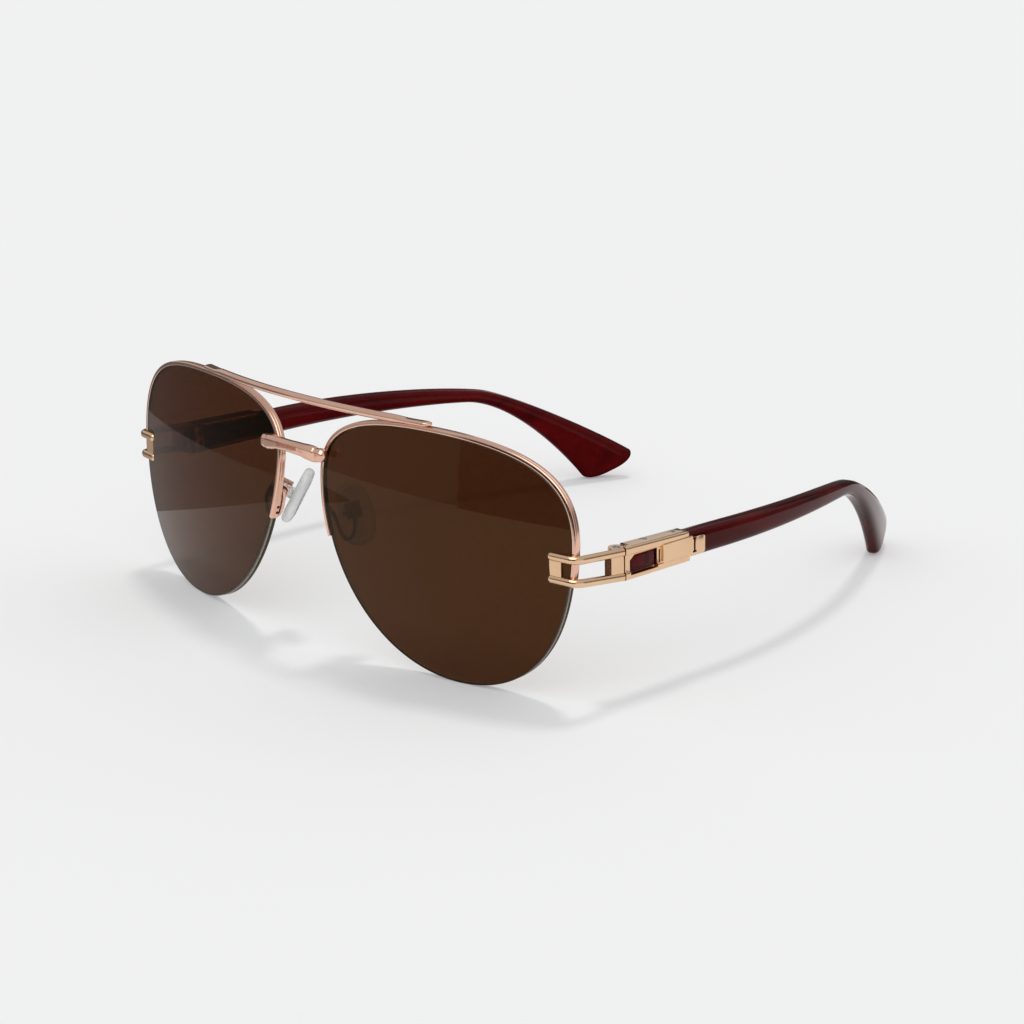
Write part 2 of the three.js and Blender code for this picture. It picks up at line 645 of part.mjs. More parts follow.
function makeArm() {
  const rings = [...armStretch(armStraight), ...armStretch(armEnd), ...armTipRings()];
  const tenonFront = hinge.y + centreKnuckleRadius + clearance;
  const tenon = box([sleeve.inner + 0.1, 70.15], [tenonFront, armFront + 0.5], [24.7, 28.5]);
  const tabSpace = box([plateFace - wallThickness - clearance, 75], [tab.root, sleeve.tabEnd + clearance],
    [tab.low - clearance, tab.high + clearance]);
  const screwHoles = Object.values(templeScrewsY).map((y) =>
    rod(templeScrewX, y, [20, 35], templeScrewRadius + clearance, 10));
  return solid(loft(rings)).add(tenon).subtract(union(tabSpace, ...screwHoles));
}

// ---------------------------------------------------------------- assembly
const glasses = new THREE.Group();

function addPiece(name, manifold, material, matrix = new THREE.Matrix4()) {
  const geometry = weld(geometryOf(manifold).applyMatrix4(matrix));
  geometry.computeVertexNormals();
  const mesh = new THREE.Mesh(geometry, material);
  mesh.name = name;
  glasses.add(mesh);
}

function addPair(name, manifold, material, matrix = new THREE.Matrix4()) {
  addPiece(`${name}_left`, manifold, material, matrix);
  addPiece(`${name}_right`, manifold, material, mirrorX.clone().multiply(matrix));
}

addPair('rim', makeRim(), roseGold, lensPlacement);
addPair('lens', makeLens(), brownLens, lensPlacement);
addPair('nylon_thread', makeNylonThread(), nylon, lensPlacement);
addPiece('bridge', makeBridge(), roseGold);
addPiece('brow_bar', makeBrowBar(), roseGold);

addPair('pad_arm', makePadArm(), roseGold);
addPair('pad_box', makePadBox(), roseGold, padFrame);
addPair('pad_screw', makePadScrew(), steel, padFrame);
addPair('pad_plate', makePadPlate(), padCore, padFrame);
addPair('nose_pad', makeNosePad(), silicone, padFrame);

addPair('end_piece', makeEndPiece(), yellowGold);
addPair('hinge_screw', makeHingeScrew(), steel);

addPair('temple_sleeve', makeSleeve(), yellowGold);
addPair('temple_panel', makePanel(), yellowGold);
addPair('temple_screw_front', makeTempleScrew(templeScrewsY.front), steel);
addPair('temple_screw_rear', makeTempleScrew(templeScrewsY.rear), steel);
addPair('temple_arm', makeArm(), burgundy);

// The origin is the middle of the footprint, on the surface the folded-open glasses stand on.
const bounds = new THREE.Box3().setFromObject(glasses);
glasses.position.set(0, -(bounds.min.y + bounds.max.y) / 2, -bounds.min.z);

export default glasses;
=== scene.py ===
"""Aviator sunglasses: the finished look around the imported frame.

Shapes are built in millimetres in the axes of the glasses, with y = 0 at the lens centres, and are
then moved into the frame, in metres. Left-hand pieces are built and then mirrored.
"""

import bisect
import math

import bmesh
import bpy
from mathutils import Matrix, Vector


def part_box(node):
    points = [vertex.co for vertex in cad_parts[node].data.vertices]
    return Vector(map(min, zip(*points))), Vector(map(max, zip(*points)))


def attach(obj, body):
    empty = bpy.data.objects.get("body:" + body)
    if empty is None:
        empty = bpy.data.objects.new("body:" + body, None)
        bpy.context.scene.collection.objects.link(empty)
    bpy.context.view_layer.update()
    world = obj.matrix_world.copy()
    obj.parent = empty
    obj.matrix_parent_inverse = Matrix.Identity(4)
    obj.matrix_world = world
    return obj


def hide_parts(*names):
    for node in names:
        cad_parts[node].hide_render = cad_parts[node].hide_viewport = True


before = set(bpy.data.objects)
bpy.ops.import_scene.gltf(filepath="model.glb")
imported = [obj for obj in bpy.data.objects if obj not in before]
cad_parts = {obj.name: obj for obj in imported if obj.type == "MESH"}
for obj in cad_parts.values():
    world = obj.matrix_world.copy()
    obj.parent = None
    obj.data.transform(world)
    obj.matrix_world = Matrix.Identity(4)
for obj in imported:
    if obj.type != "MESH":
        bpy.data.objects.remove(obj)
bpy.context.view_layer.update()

# ------------------------------------------------------------------ driving dimensions
MM = 0.001
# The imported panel, which shows where the frame puts the glasses. The finished one is larger by the margin
# above and below, and sits further forward by the same amount.
PANEL = {"front": 32.3, "back": 40.9, "low": 25.1, "high": 28.4, "thickness": 0.5}
PANEL_MARGIN = 0.3
panel_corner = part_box("temple_panel_left")[0]
SHIFT = Vector((0, panel_corner.y - PANEL["front"] * MM, panel_corner.z - PANEL["low"] * MM))
TO_FRAME = Matrix.Translation(SHIFT) @ Matrix.Scale(MM, 4)
SIDES = (("left", 1), ("right", -1))
X_AXIS, Y_AXIS, Z_AXIS = Vector((1, 0, 0)), Vector((0, 1, 0)), Vector((0, 0, 1))

GAP = 0.3
JOINED = 0.03                    # the hair line between pieces that are soldered or pressed together
BELOW, ABOVE, OUTSIDE = 20, 35, 75     # where cutters end, clear of the metal: two heights and an x

LENS_CENTRE = Vector((40.1, 0, 27.4))
LENS_WRAP = math.radians(11.2)
LENS_TILT = math.radians(1.8)
BASE_RADIUS = 170
LENS_THICKNESS = 2
LENS_BEVEL = 0.16

RIM_INSET = 0.3
RIM_BAND = 0.7
RIM_DEPTH = 1.6
RIM_LIP = 0.12
RIM_GROOVE = {"at": 0.55, "half_width": 0.07, "depth": 0.08}
RIM_START = -0.041               # the rim's ends, as shares of the way round the lens edge
RIM_END = 0.5
THREAD_RADIUS = 0.28
THREAD_INSET = 0.3
THREAD_HOLES = (0.007, 0.014)    # before the rim's end, as shares of the lens edge
THREAD_HOLE_RADIUS = 0.35
THREAD_HOLE_REACH = (-1, 3)      # from inside the rim to outside it

BRIDGE_HALF_LENGTH = 10.3
BROW_HALF_LENGTH = 36.8
BROW_RADIUS = 0.85
PADDLE = {"start": 28, "full": 31.5, "half_depth": 1.15, "half_height": 0.5, "round_end": 1.6}

HINGE = Vector((68.7, 21.9, 0))
HINGE_SCREW_RADIUS = 0.5
HINGE_HEAD = {"radius": 0.8, "below": 0.36, "above": 0.04}
SCREW_ROOM = 0.05
HEAD_ROOM = 0.04
OVERLAP = 0.05                   # how far a screw's shank reaches into its head
SCREW_SLOT = {"half_width": 0.13, "depth": 0.2}
KNUCKLE_RADIUS = 1.7
CENTRE_KNUCKLE_RADIUS = 2.3
CENTRE_KNUCKLE = (25.1, 28)
UPPER_KNUCKLE = (28.3, 29.85)
LOWER_KNUCKLE = (23.7, 24.8)

RAIL_FACE = 71.75
RAIL_RECESS = 0.45
RAIL_HEIGHT = 1.75
PLATE_FACE = RAIL_FACE - RAIL_RECESS
WALL = 0.75
FLANGE = 0.95
SLEEVE = {"inner": 67.9, "front": 22.3, "end": 39.8, "tab_end": 44.7, "bottom": 23.4}
SLEEVE_TOP = (30.3, 29.8)
SLEEVE_WINDOW = {"front": 23, "back": 30.7, "low": 24.35, "high": 28.3}
TAB = (24.3, 28.1)
TAB_ROOT = 38
TAB_CORNER = 0.7
TEMPLE_SCREW_X = 69
TEMPLE_SCREWS = {"front": 29.3, "rear": 37.4}
TEMPLE_SCREW_RADIUS = 0.42
TEMPLE_HOLE_RADIUS = 0.5
TEMPLE_HEAD = {"radius": 0.58, "height": 0.45, "sunk": 0.6}

ARM_CENTRE = 69.3
ARM_THICKNESS = 3.9
ARM_FRONT = SLEEVE["end"] + GAP
ARM_BEND_START = 50.6
ARM_BEND_SCALE = 257

PAD_CENTRE = Vector((9.6, 4.3, 28.4))
PAD_LENGTH = 13.6
PAD_WIDTH = 7.2
PAD_THICKNESS = 2.5


# ------------------------------------------------------------------ curves and sections
def bezier(corners, t):
    a, b, c, d = corners
    s = 1 - t
    return a * s**3 + b * (3 * s * s * t) + c * (3 * s * t * t) + d * t**3


def flat_points(*pairs):
    return [Vector(pair) for pair in pairs]


def smoothstep(value, low, high):
    t = min(1, max(0, (value - low) / (high - low)))
    return t * t * (3 - 2 * t)


def blend(stations, x):
    """Reads a row of values from [x, values...] stations, with a smooth change between them."""
    x = min(max(x, stations[0][0]), stations[-1][0])
    for before, after in zip(stations, stations[1:]):
        if x <= after[0]:
            t = smoothstep(x, before[0], after[0])
            return [a + (b - a) * t for a, b in zip(before[1:], after[1:])]
    return list(stations[-1][1:])


def smooth_path(points, steps):
    """Points along a centripetal Catmull-Rom curve through the given points."""
    ends = [points[0] * 2 - points[1], *points, points[-1] * 2 - points[-2]]
    path = []
    for p0, p1, p2, p3 in zip(ends, ends[1:], ends[2:], ends[3:]):
        t1 = (p1 - p0).length ** 0.5
        t2 = t1 + (p2 - p1).length ** 0.5
        t3 = t2 + (p3 - p2).length ** 0.5
        for i in range(steps):
            t = t1 + (t2 - t1) * i / steps
            a1 = p0.lerp(p1, t / t1)
            a2 = p1.lerp(p2, (t - t1) / (t2 - t1))
            a3 = p2.lerp(p3, (t - t2) / (t3 - t2))
            b1 = a1.lerp(a2, t / t2)
            b2 = a2.lerp(a3, (t - t1) / (t3 - t1))
            path.append(b1.lerp(b2, (t - t1) / (t2 - t1)))
    return [*path, points[-1]]


def oval(half_width, half_height, power=2.0, sides=40):
    """An ellipse, or a rounded box when the power is above 2."""
    def bulge(value):
        return math.copysign(abs(value) ** (2 / power), value)
    angles = [2 * math.pi * (k + 0.5) / sides for k in range(sides)]
    return [(half_width * bulge(math.cos(a)), half_height * bulge(math.sin(a))) for a in angles]


def rounded(corners, radii, segments=5):
    """A polygon with each corner rounded off by its own radius."""
    corners = [Vector(corner) for corner in corners]
    points = []
    for i, (corner, radius) in enumerate(zip(corners, radii)):
        before = corner + (corners[i - 1] - corner).normalized() * radius
        after = corner + (corners[(i + 1) % len(corners)] - corner).normalized() * radius
        for k in range(segments + 1):
            t = k / segments
            points.append(before.lerp(corner, t).lerp(corner.lerp(after, t), t))
    return [tuple(point) for point in points]


def ring(centre, across, up, section):
    return [centre + across * a + up * b for a, b in section]


# ------------------------------------------------------------------ solids
def new_object(name, bm):
    bmesh.ops.recalc_face_normals(bm, faces=bm.faces)
    mesh = bpy.data.meshes.new(name)
    bm.to_mesh(mesh)
    bm.free()
    shape = bpy.data.objects.new(name, mesh)
    bpy.context.scene.collection.objects.link(shape)
    return shape


def loft(rings):
    """A closed solid through rings of points, each with the same count, with flat ends."""
    bm = bmesh.new()
    rows = [[bm.verts.new(point) for point in points] for points in rings]
    count = len(rows[0])
    for low, high in zip(rows, rows[1:]):
        for k in range(count):
            n = (k + 1) % count
            bm.faces.new((low[k], low[n], high[n], high[k]))
    bm.faces.new(rows[0])
    bm.faces.new(rows[-1])
    return new_object("shape", bm)


def block(x, y, z):
    corners = [(x[0], y[0]), (x[1], y[0]), (x[1], y[1]), (x[0], y[1])]
    return loft([[Vector((a, b, height)) for a, b in corners] for height in z])


def rod(x, y, z, radius, sides=56):
    section = oval(radius, radius, 2, sides)
    return loft([ring(Vector((x, y, height)), X_AXIS, Y_AXIS, section) for height in z])


def tube(path, radius, sides=20):
    """A round wire along a path, carried from point to point without twisting."""
    side = (path[1] - path[0]).orthogonal().normalized()
    rings = []
    for i, point in enumerate(path):
        along = (path[min(i + 1, len(path) - 1)] - path[max(i - 1, 0)]).normalized()
        side = (side - along * side.dot(along)).normalized()
        rings.append(ring(point, side, along.cross(side), oval(radius, radius, 2, sides)))
    return loft(rings)


def apply_modifiers(shape):
    bpy.context.view_layer.update()
    evaluated = shape.evaluated_get(bpy.context.evaluated_depsgraph_get())
    mesh = bpy.data.meshes.new_from_object(evaluated)
    shape.modifiers.clear()
    shape.data = mesh


def combine(shape, tools, operation):
    for tool in tools:
        modifier = shape.modifiers.new("combine", "BOOLEAN")
        modifier.operation = operation
        modifier.solver = "EXACT"
        modifier.object = tool
        apply_modifiers(shape)
        bpy.data.objects.remove(tool)
    return shape


def union(first, *others):
    return combine(first, others, "UNION")


def subtract(shape, *tools):
    return combine(shape, tools, "DIFFERENCE")


def soften(shape, width, segments=3, angle=32):
    """Rounds the sharp edges, as polishing does."""
    weld = shape.modifiers.new("weld", "WELD")
    weld.merge_threshold = 0.002
    bevel = shape.modifiers.new("bevel", "BEVEL")
    bevel.width = width
    bevel.segments = segments
    bevel.limit_method = "ANGLE"
    bevel.angle_limit = math.radians(angle)
    bevel.use_clamp_overlap = True
    apply_modifiers(shape)
    return shape


def moved(shape, matrix):
    shape.data.transform(matrix)
    return shape


def mirrored_too(make):
    left = make()
    right = make()
    right.data.transform(Matrix.Diagonal((-1, 1, 1, 1)))
    right.data.flip_normals()
    return left, right


# ------------------------------------------------------------------ pieces
def add_piece(node, mesh, materials, body, sharp_angle=34):
    piece = bpy.data.objects.new(f"{node}_finished", mesh)
    mesh.name = piece.name
    bpy.context.scene.collection.objects.link(piece)
    for material in materials:
        mesh.materials.append(material)
    mesh.polygons.foreach_set("use_smooth", [True] * len(mesh.polygons))
    mesh.set_sharp_from_angle(angle=math.radians(sharp_angle))
    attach(piece, body)
    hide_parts(node)
    return piece


def add_single(node, shape, material, body="front"):
    mesh = shape.data.copy()
    mesh.transform(TO_FRAME)
    bpy.data.objects.remove(shape)
    return add_piece(node, mesh, [material], body)


def add_pair(node, shape, material, body="front", edge_material=None):
    """Adds the shape and its mirror image. A body other than the front has one name for each side."""
    materials = [material, edge_material] if edge_material else [material]
    pieces = []
    for side, sign in SIDES:
        mesh = shape.data.copy()
        mesh.transform(TO_FRAME @ Matrix.Diagonal((sign, 1, 1, 1)))
        if sign < 0:
            mesh.flip_normals()
        owner = body if body == "front" else f"{body}_{side}"
        pieces.append(add_piece(f"{node}_{side}", mesh, materials, owner))
    bpy.data.objects.remove(shape)
    return pieces


# ------------------------------------------------------------------ materials
def new_material(name):
    material = bpy.data.materials.new(name)
    material.use_nodes = True
    tree = material.node_tree
    return material, tree, tree.nodes["Principled BSDF"]


def object_position(tree, stretch=(1, 1, 1)):
    coordinates = tree.nodes.new("ShaderNodeTexCoord")
    mapping = tree.nodes.new("ShaderNodeMapping")
    mapping.inputs["Scale"].default_value = stretch
    tree.links.new(coordinates.outputs["Object"], mapping.inputs["Vector"])
    return mapping.outputs["Vector"]


def grain(tree, scale, detail=3, stretch=(1, 1, 1)):
    texture = tree.nodes.new("ShaderNodeTexNoise")
    texture.inputs["Scale"].default_value = scale
    texture.inputs["Detail"].default_value = detail
    tree.links.new(object_position(tree, stretch), texture.inputs["Vector"])
    return texture.outputs["Fac"]


def spread(tree, source, low, high, start=0.3, end=0.7):
    """Spreads a pattern between two values."""
    node = tree.nodes.new("ShaderNodeMapRange")
    node.inputs["From Min"].default_value = start
    node.inputs["From Max"].default_value = end
    node.inputs["To Min"].default_value = low
    node.inputs["To Max"].default_value = high
    tree.links.new(source, node.inputs["Value"])
    return node.outputs["Result"]


def mixed(tree, factor, first, second):
    """Mixes two colours, each a colour value or another node's output."""
    node = tree.nodes.new("ShaderNodeMix")
    node.data_type = "RGBA"
    tree.links.new(factor, node.inputs["Factor"])
    for socket, colour in ((node.inputs["A"], first), (node.inputs["B"], second)):
        if isinstance(colour, tuple):
            socket.default_value = (*colour, 1)
        else:
            tree.links.new(colour, socket)
    return node.outputs["Result"]


def bumped(tree, shader, source, distance, strength):
    bump = tree.nodes.new("ShaderNodeBump")
    bump.inputs["Distance"].default_value = distance
    bump.inputs["Strength"].default_value = strength
    tree.links.new(source, bump.inputs["Height"])
    tree.links.new(bump.outputs["Normal"], shader.inputs["Normal"])


def polished_metal(name, light, dark, roughness, scratch=0.08):
    """Plated metal: slight tone changes, uneven polish and hair-fine polishing marks."""
    material, tree, shader = new_material(name)
    shader.inputs["Metallic"].default_value = 1
    tone = spread(tree, grain(tree, 160), 0, 1)
    tree.links.new(mixed(tree, tone, light, dark), shader.inputs["Base Color"])
    polish = spread(tree, grain(tree, 600, 5), roughness[0], roughness[1])
    tree.links.new(polish, shader.inputs["Roughness"])
    bumped(tree, shader, grain(tree, 3600, 4, (1, 0.12, 1)), 0.000003, scratch)
    return material


def lens_tint():
    """Dark brown polymer with a faint uneven surface, painted a little darker towards the top as shade for
    the dimmer reflections on the upper part of the lens.
    """
    material, tree, shader = new_material("brown lens")
    shader.inputs["Transmission Weight"].default_value = 1
    shader.inputs["IOR"].default_value = 1.3
    shader.inputs["Specular Tint"].default_value = (1, 0.75, 0.35, 1)
    height = tree.nodes.new("ShaderNodeSeparateXYZ")
    tree.links.new(object_position(tree), height.inputs["Vector"])
    # painted shade: the brown darkens with height, from the table up to the top of the lens, in place of the
    # darker reflections on the upper part
    shade = spread(tree, height.outputs["Z"], 0, 1, 0.0, 0.052)
    lens_colour_with_painted_shade = mixed(tree, shade, (0.060, 0.0190, 0.0074), (0.052, 0.0165, 0.0064))
    tree.links.new(lens_colour_with_painted_shade, shader.inputs["Base Color"])
    tree.links.new(spread(tree, grain(tree, 900), 0.008, 0.022), shader.inputs["Roughness"])
    return material


def burgundy_plastic():
    """Polished translucent burgundy with long cloudy streaks."""
    material, tree, shader = new_material("burgundy plastic")
    shader.inputs["IOR"].default_value = 1.35
    shader.inputs["Specular IOR Level"].default_value = 0.25
    shader.inputs["Specular Tint"].default_value = (0.6, 0.35, 0.35, 1)
    shader.inputs["Transmission Weight"].default_value = 0.7
    streak = spread(tree, grain(tree, 260, 4, (1, 0.18, 1)), 0, 1)
    body = mixed(tree, streak, (0.12, 0.0045, 0.005), (0.035, 0.0015, 0.002))
    tree.links.new(body, shader.inputs["Base Color"])
    tree.links.new(spread(tree, grain(tree, 500), 0.06, 0.12), shader.inputs["Roughness"])
    bumped(tree, shader, grain(tree, 240, 2, (1, 0.3, 1)), 0.00001, 0.1)
    return material


def clear_silicone():
    material, tree, shader = new_material("silicone")
    shader.inputs["Transmission Weight"].default_value = 0.62
    shader.inputs["IOR"].default_value = 1.41
    cloud = spread(tree, grain(tree, 420, 4), 0, 1)
    tree.links.new(mixed(tree, cloud, (0.90, 0.91, 0.90), (0.83, 0.84, 0.83)), shader.inputs["Base Color"])
    tree.links.new(spread(tree, grain(tree, 300, 2), 0.18, 0.28), shader.inputs["Roughness"])
    bumped(tree, shader, grain(tree, 260, 2), 0.00001, 0.01)
    return material


def moulded(name, light, dark, roughness, transmission=0.0):
    material, tree, shader = new_material(name)
    shader.inputs["Transmission Weight"].default_value = transmission
    cloud = spread(tree, grain(tree, 700, 4), 0, 1)
    tree.links.new(mixed(tree, cloud, light, dark), shader.inputs["Base Color"])
    tree.links.new(spread(tree, grain(tree, 1500), *roughness), shader.inputs["Roughness"])
    return material


rose_gold = polished_metal("rose gold", (0.88, 0.55, 0.42), (0.80, 0.48, 0.36), (0.12, 0.2))
yellow_gold = polished_metal("yellow gold", (0.86, 0.58, 0.37), (0.79, 0.52, 0.32), (0.12, 0.21))
steel = polished_metal("steel", (0.55, 0.55, 0.57), (0.42, 0.42, 0.44), (0.2, 0.32), 0.5)
brown_lens = lens_tint()
lens_edge = moulded("lens edge", (0.022, 0.011, 0.006), (0.012, 0.006, 0.003), (0.3, 0.45))
burgundy = burgundy_plastic()
silicone = clear_silicone()
pad_core = moulded("pad core", (0.86, 0.87, 0.87), (0.74, 0.75, 0.75), (0.2, 0.3), 0.7)
nylon = moulded("nylon", (0.52, 0.40, 0.27), (0.40, 0.30, 0.20), (0.15, 0.3), 0.4)


# ------------------------------------------------------------------ lens plane
LENS_OUTER = (30.5, 5)
LENS_TOP = (-6, 24)
LENS_INNER = (-32.3, 11.5)
LENS_BOTTOM = (4, -27.3)
LENS_QUARTERS = [
    flat_points(LENS_OUTER, (30.5, 17), (22.5, 24), LENS_TOP),
    flat_points(LENS_TOP, (-25, 24), (-32.3, 19.5), LENS_INNER),
    flat_points(LENS_INNER, (-32.3, -7), (-18, -27.3), LENS_BOTTOM),
    flat_points(LENS_BOTTOM, (20, -27.3), (30.5, -16), LENS_OUTER),
]
QUARTER_SAMPLES = 300
LENS_PLACE = (
    Matrix.Translation(LENS_CENTRE)
    @ Matrix.Rotation(LENS_WRAP, 4, "Z")
    @ Matrix.Rotation(-LENS_TILT, 4, "X")
)

edge_points = [bezier(q, i / QUARTER_SAMPLES) for q in LENS_QUARTERS for i in range(QUARTER_SAMPLES)]
edge_points.append(edge_points[0])
edge_lengths = [0.0]
for start, end in zip(edge_points, edge_points[1:]):
    edge_lengths.append(edge_lengths[-1] + (end - start).length)


def edge_point(fraction):
    wanted = (fraction % 1) * edge_lengths[-1]
    i = min(bisect.bisect_right(edge_lengths, wanted), len(edge_points) - 1)
    share = (wanted - edge_lengths[i - 1]) / (edge_lengths[i] - edge_lengths[i - 1])
    return edge_points[i - 1].lerp(edge_points[i], share)


def sag(across, up):
    return BASE_RADIUS - math.sqrt(BASE_RADIUS**2 - across**2 - up**2)


def beside_edge(fraction, outwards, backwards):
    """A point beside the lens edge, in the lens's own axes."""
    step = 0.002
    point = edge_point(fraction)
    tangent = (edge_point(fraction + step) - edge_point(fraction - step)).normalized()
    across = point.x + tangent.y * outwards
    up = point.y - tangent.x * outwards
    return Vector((across, sag(across, up) + backwards, up))


def along_edge(section, start, end, steps):
    fractions = [start + (end - start) * i / steps for i in range(steps + 1)]
    return loft([[LENS_PLACE @ beside_edge(f, a, b) for a, b in section] for f in fractions])


def rim_section():
    """A rounded bead in front, a fine groove behind it, and a side band."""
    inner, outer = JOINED, RIM_INSET + RIM_BAND
    front, back = -RIM_LIP, RIM_DEPTH - RIM_LIP
    groove, half_width = RIM_GROOVE["at"], RIM_GROOVE["half_width"]
    corners = [
        (inner, front), (outer, front),
        (outer, groove - half_width), (outer - RIM_GROOVE["depth"], groove), (outer, groove + half_width),
        (outer, back), (inner, back),
    ]
    return rounded(corners, [0.3, 0.36, 0.04, 0.04, 0.04, 0.3, 0.1])


def rim_space(margin):
    inner, outer = 0, RIM_INSET + RIM_BAND + margin
    front, back = -RIM_LIP - margin, RIM_DEPTH - RIM_LIP + margin
    section = [(inner, front), (outer, front), (outer, back), (inner, back)]
    return along_edge(section, RIM_START - 0.002, RIM_END + 0.002, 70)


def lens_space(margin):
    rings = []
    for backwards in (-margin, LENS_THICKNESS + margin):
        rings.append([LENS_PLACE @ beside_edge(i / 120, margin, backwards) for i in range(120)])
    return loft(rings)


def make_rim():
    rim = along_edge(rim_section(), RIM_START, RIM_END, 300)
    across = LENS_PLACE.to_3x3() @ Y_AXIS
    holes = []
    for before_end in THREAD_HOLES:
        inside, outside = (
            LENS_PLACE @ beside_edge(RIM_END - before_end, reach, LENS_THICKNESS / 2)
            for reach in THREAD_HOLE_REACH
        )
        up = (outside - inside).cross(across).normalized()
        section = oval(THREAD_HOLE_RADIUS, THREAD_HOLE_RADIUS, 2, 24)
        holes.append(loft([ring(inside, across, up, section), ring(outside, across, up, section)]))
    return subtract(rim, *holes)


def edge_profile(groove):
    """[outwards, backwards] down the lens edge: a bevel, the thread's groove and a bevel."""
    reach = THREAD_RADIUS + GAP
    profile = []
    for k in range(25):
        backwards = LENS_THICKNESS * k / 24
        off_face = min(backwards, LENS_THICKNESS - backwards)
        outwards = -max(0.0, LENS_BEVEL - off_face)
        inside = reach**2 - (backwards - LENS_THICKNESS / 2) ** 2
        if inside > THREAD_INSET**2:
            outwards -= groove * (THREAD_INSET + math.sqrt(inside) - 2 * THREAD_INSET)
        profile.append((outwards, backwards))
    return profile


def make_lens():
    """Both curved faces and the edge, with the groove along the part that the rim doesn't hold.

    The edge faces have the second material.
    """
    around = 360
    radial = [math.sin(math.pi / 2 * k / 18) for k in range(1, 18)]
    bm = bmesh.new()
    loops = []
    for i in range(around):
        fraction = i / around
        past_rim = min(fraction - RIM_END, 1 + RIM_START - fraction)
        profile = edge_profile(smoothstep(past_rim, -0.008, -0.002))
        edge = [beside_edge(fraction, a, b) for a, b in profile]
        front, back = (
            [Vector((p.x * r, sag(p.x * r, p.z * r) + offset, p.z * r)) for r in radial]
            for p, offset in ((edge[0], 0), (edge[-1], LENS_THICKNESS))
        )
        column = [*front, *edge, *reversed(back)]
        loops.append([bm.verts.new(LENS_PLACE @ point) for point in column])
    centre_front = bm.verts.new(LENS_PLACE @ Vector((0, 0, 0)))
    centre_back = bm.verts.new(LENS_PLACE @ Vector((0, LENS_THICKNESS, 0)))
    for i, column in enumerate(loops):
        following = loops[(i + 1) % around]
        for k in range(len(column) - 1):
            face = bm.faces.new((column[k], column[k + 1], following[k + 1], following[k]))
            face.material_index = int(len(radial) <= k < len(column) - len(radial) - 1)
        bm.faces.new((centre_front, column[0], following[0]))
        bm.faces.new((centre_back, following[-1], column[-1]))
    return new_object("lens", bm)


def make_thread():
    circle = oval(THREAD_RADIUS, THREAD_RADIUS, 2, 18)
    section = [(a - THREAD_INSET, b + LENS_THICKNESS / 2) for a, b in circle]
    return along_edge(section, RIM_END, 1 + RIM_START, 240)


# ------------------------------------------------------------------ bridge and brow bar
# Distance from the middle, height above and below the middle line, and half depth.
BRIDGE_STATIONS = [
    [0, 1.25, 1.2, 0.87], [3.5, 1.3, 1.3, 0.95], [6.2, 1.4, 1.65, 1.05], [7.4, 1.35, 1.8, 1.05],
    [7.9, 1.18, 1.75, 1], [8.3, 1.2, 1.65, 1], [8.8, 1.3, 1.55, 1.1], [9.3, 1.3, 1.4, 1.1],
]
BRIDGE_ROUND_END = 1
BRIDGE_LINES = {"reach": 3.2, "heights": (-0.17, 0.08, 0.33)}
BRIDGE_SLITS = {"start": 8.5, "end": 9.3, "heights": (0.05, 0.5)}
ENGRAVING = {"depth": 0.2, "half_height": 0.08}
# Cast section, in half depths (front is negative) and half heights: a flat front below a ridge.
BRIDGE_SECTION = [(-1, -0.7), (-1, 0.4), (-0.45, 1), (0.6, 1), (1, 0.5), (1, -0.6), (0.4, -1), (-0.6, -1)]


def bridge_centre(x):
    return Vector((x, -5.2 + 0.0125 * x * x, 43.2 - 0.0062 * x * x))


def bridge_groove(start, end, height):
    """A fine line cut lengthwise into the front of the bridge."""
    section = oval(ENGRAVING["depth"], ENGRAVING["half_height"], 2, 12)
    rings = []
    for i in range(17):
        x = start + (end - start) * i / 16
        face = bridge_centre(x) - Vector((0, blend(BRIDGE_STATIONS, abs(x))[2], -height))
        rings.append(ring(face, Y_AXIS, Z_AXIS, section))
    return loft(rings)


def make_bridge():
    section = rounded(BRIDGE_SECTION, [0.17] * len(BRIDGE_SECTION), 4)
    rings = []
    steps = 320
    for i in range(steps + 1):
        x = BRIDGE_HALF_LENGTH * (2 * i / steps - 1)
        top, bottom, half_depth = blend(BRIDGE_STATIONS, abs(x))
        into_end = max(0, abs(x) - BRIDGE_HALF_LENGTH + BRIDGE_ROUND_END) / BRIDGE_ROUND_END
        full = math.sqrt(max(0.03, 1 - into_end**2))
        scaled = [(depth * half_depth * full, height * (top if height > 0 else bottom) * full)
                  for depth, height in section]
        rings.append(ring(bridge_centre(x), Y_AXIS, Z_AXIS, scaled))
    reach = BRIDGE_LINES["reach"]
    lines = [bridge_groove(-reach, reach, height) for height in BRIDGE_LINES["heights"]]
    slits = [
        bridge_groove(sign * BRIDGE_SLITS["start"], sign * BRIDGE_SLITS["end"], height)
        for sign in (-1, 1)
        for height in BRIDGE_SLITS["heights"]
    ]
    bridge = subtract(loft(rings), *lines, *slits)
    subtract(bridge, *mirrored_too(lambda: rim_space(JOINED)))
    return subtract(bridge, *mirrored_too(lambda: lens_space(JOINED)))


def make_brow_bar():
    """Round in the middle, and flattened into a paddle where it lies along the top of each rim."""
    rings = []
    steps = 300
    for i in range(steps + 1):
        x = BROW_HALF_LENGTH * (2 * i / steps - 1)
        reach = abs(x) / BROW_HALF_LENGTH
        flat = smoothstep(abs(x), PADDLE["start"], PADDLE["full"])
        into_end = smoothstep(abs(x), BROW_HALF_LENGTH - PADDLE["round_end"], BROW_HALF_LENGTH)
        tip = math.sqrt(max(0.04, 1 - into_end**2))
        half_depth = (BROW_RADIUS + (PADDLE["half_depth"] - BROW_RADIUS) * flat) * tip
        half_height = (BROW_RADIUS + (PADDLE["half_height"] - BROW_RADIUS) * flat) * tip
        centre = Vector((x, -3.1 + 5.1 * reach**2, 53.4 - 0.45 * reach**2))
        section = oval(half_depth, half_height, 2 + flat, 32)
        rings.append(ring(centre, Y_AXIS, Z_AXIS, section))
    return subtract(loft(rings), *mirrored_too(lambda: rim_space(JOINED)))


